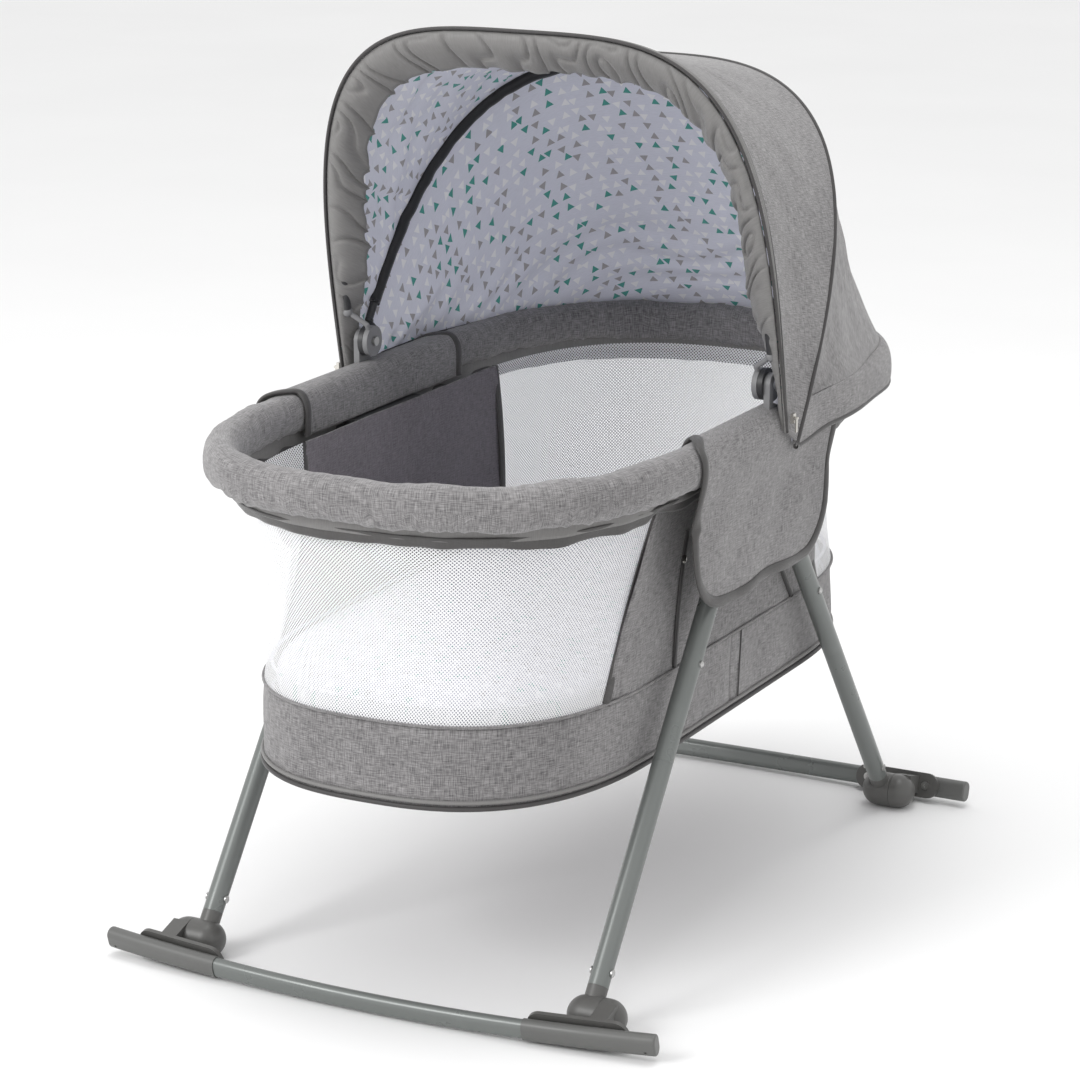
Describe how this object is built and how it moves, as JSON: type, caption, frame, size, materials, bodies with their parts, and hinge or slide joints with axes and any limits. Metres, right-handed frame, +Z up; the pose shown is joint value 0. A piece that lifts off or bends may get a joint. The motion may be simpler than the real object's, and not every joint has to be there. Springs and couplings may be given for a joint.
{
  "type": "bassinet on stand",
  "caption": "Oval fabric bassinet with mesh ends and a folding canopy, on crossed tube legs with curved rocker feet.",
  "frame": {"origin": "on the floor under the middle of the bassinet, midway between the two rocker feet", "axes": "+X across the bassinet to its right side seen from the foot end, +Y towards the head end under the canopy, +Z up"},
  "size_m": [0.5614, 0.8572, 0.8383],
  "materials": {
    "frame_metal": "satin",
    "foot_plastic": "satin",
    "hub_plastic": "matte",
    "plated_steel": "satin",
    "joint_plastic": "satin",
    "nickel": "polished",
    "bow_rod": "satin",
    "heather_fabric": "woven",
    "mesh": "net",
    "lining": "woven",
    "board": "padded",
    "sheet_print": "printed cotton"
  },
  "bodies": {
    "tub": {"base_board": "board", "canopy_joint_screws": "plated_steel", "canopy_rear_panel": "heather_fabric", "foot_mesh_window": "mesh", "front_rim_pad": "heather_fabric", "front_rim_tube": "frame_metal", "head_mesh_window": "mesh", "hub_pins": "plated_steel", "left_canopy_post": "joint_plastic", "left_hub_inner": "hub_plastic", "left_hub_outer": "hub_plastic", "left_side_flap": "heather_fabric", "left_side_panel": "heather_fabric", "mattress": "sheet_print", "rear_rim_pad": "heather_fabric", "rear_rim_tube": "frame_metal", "right_canopy_post": "joint_plastic", "right_hub_inner": "hub_plastic", "right_hub_outer": "hub_plastic", "right_side_flap": "heather_fabric", "right_side_panel": "heather_fabric", "tub_floor": "lining", "tub_lower_band": "heather_fabric"},
    "front_legs": {"front_foot_rivets": "plated_steel", "front_foot_sockets": "foot_plastic", "front_left_lower_leg": "frame_metal", "front_left_upper_leg": "frame_metal", "front_right_lower_leg": "frame_metal", "front_right_upper_leg": "frame_metal"},
    "rear_legs": {"rear_foot_rivets": "plated_steel", "rear_foot_sockets": "foot_plastic", "rear_left_lower_leg": "frame_metal", "rear_left_upper_leg": "frame_metal", "rear_right_lower_leg": "frame_metal", "rear_right_upper_leg": "frame_metal"},
    "front_rocker": {"front_bracket_screws": "plated_steel", "front_foot_hinge_pins": "plated_steel", "front_left_foot_bracket": "foot_plastic", "front_right_foot_bracket": "foot_plastic", "front_rocker_end_caps": "foot_plastic", "front_rocker_sleeves": "frame_metal", "front_rocker_tube": "frame_metal"},
    "rear_rocker": {"rear_bracket_screws": "plated_steel", "rear_foot_hinge_pins": "plated_steel", "rear_left_foot_bracket": "foot_plastic", "rear_right_foot_bracket": "foot_plastic", "rear_rocker_end_caps": "foot_plastic", "rear_rocker_sleeves": "frame_metal", "rear_rocker_tube": "frame_metal"},
    "canopy_middle": {"canopy_middle_bow": "bow_rod"},
    "canopy_front": {"canopy_front_bow": "bow_rod", "front_bow_arms": "joint_plastic", "canopy_front_panel": "heather_fabric", "zip_sliders": "nickel"},
    "right_pull": {"right_zip_pull": "nickel"},
    "left_pull": {"left_zip_pull": "nickel"},
    "front_right_button": {"front_right_snap_button": "plated_steel"},
    "front_left_button": {"front_left_snap_button": "plated_steel"},
    "rear_right_button": {"rear_right_snap_button": "plated_steel"},
    "rear_left_button": {"rear_left_snap_button": "plated_steel"}
  },
  "joints": [
    {"name": "front_leg_fold", "type": "hinge", "parent": "tub", "child": "front_legs", "pos_m": [0, -0.025, 0.4315], "axis": [1, 0, 0], "range_deg": [0, 36]},
    {"name": "rear_leg_fold", "type": "hinge", "parent": "tub", "child": "rear_legs", "pos_m": [0, 0.025, 0.4315], "axis": [1, 0, 0], "range_deg": [-36, 0]},
    {"name": "front_rocker_turn", "type": "hinge", "parent": "front_legs", "child": "front_rocker", "pos_m": [0, -0.3412, 0.0175], "axis": [1, 0, 0], "range_deg": [0, 73]},
    {"name": "rear_rocker_turn", "type": "hinge", "parent": "rear_legs", "child": "rear_rocker", "pos_m": [0, 0.3412, 0.0175], "axis": [-1, 0, 0], "range_deg": [0, 73]},
    {"name": "canopy_middle_fold", "type": "hinge", "parent": "tub", "child": "canopy_middle", "pos_m": [0, -0.006, 0.5185], "axis": [-1, 0, 0], "range_deg": [0, 45], "deforming": ["canopy_rear_panel"]},
    {"name": "canopy_front_fold", "type": "hinge", "parent": "canopy_middle", "child": "canopy_front", "pos_m": [0, -0.006, 0.5185], "axis": [-1, 0, 0], "range_deg": [0, 36], "deforming": ["canopy_front_panel"]},
    {"name": "right_pull_swing", "type": "hinge", "parent": "canopy_front", "child": "right_pull", "pos_m": [0.2439, -0.00989, 0.49], "axis": [0, -1, 0], "range_deg": [0, 100]},
    {"name": "left_pull_swing", "type": "hinge", "parent": "canopy_front", "child": "left_pull", "pos_m": [-0.2439, -0.00989, 0.49], "axis": [0, 1, 0], "range_deg": [0, 100]},
    {"name": "front_right_button_press", "type": "slide", "parent": "front_legs", "child": "front_right_button", "axis": [-1, 0, 0], "range_m": [0, 0.003], "stiffness_N_per_m": 800},
    {"name": "front_left_button_press", "type": "slide", "parent": "front_legs", "child": "front_left_button", "axis": [1, 0, 0], "range_m": [0, 0.003], "stiffness_N_per_m": 800},
    {"name": "rear_right_button_press", "type": "slide", "parent": "rear_legs", "child": "rear_right_button", "axis": [-1, 0, 0], "range_m": [0, 0.003], "stiffness_N_per_m": 800},
    {"name": "rear_left_button_press", "type": "slide", "parent": "rear_legs", "child": "rear_left_button", "axis": [1, 0, 0], "range_m": [0, 0.003], "stiffness_N_per_m": 800}
  ],
  "couplings": [
    {"joint": "rear_leg_fold", "follows": "front_leg_fold", "ratio": -1}
  ]
}
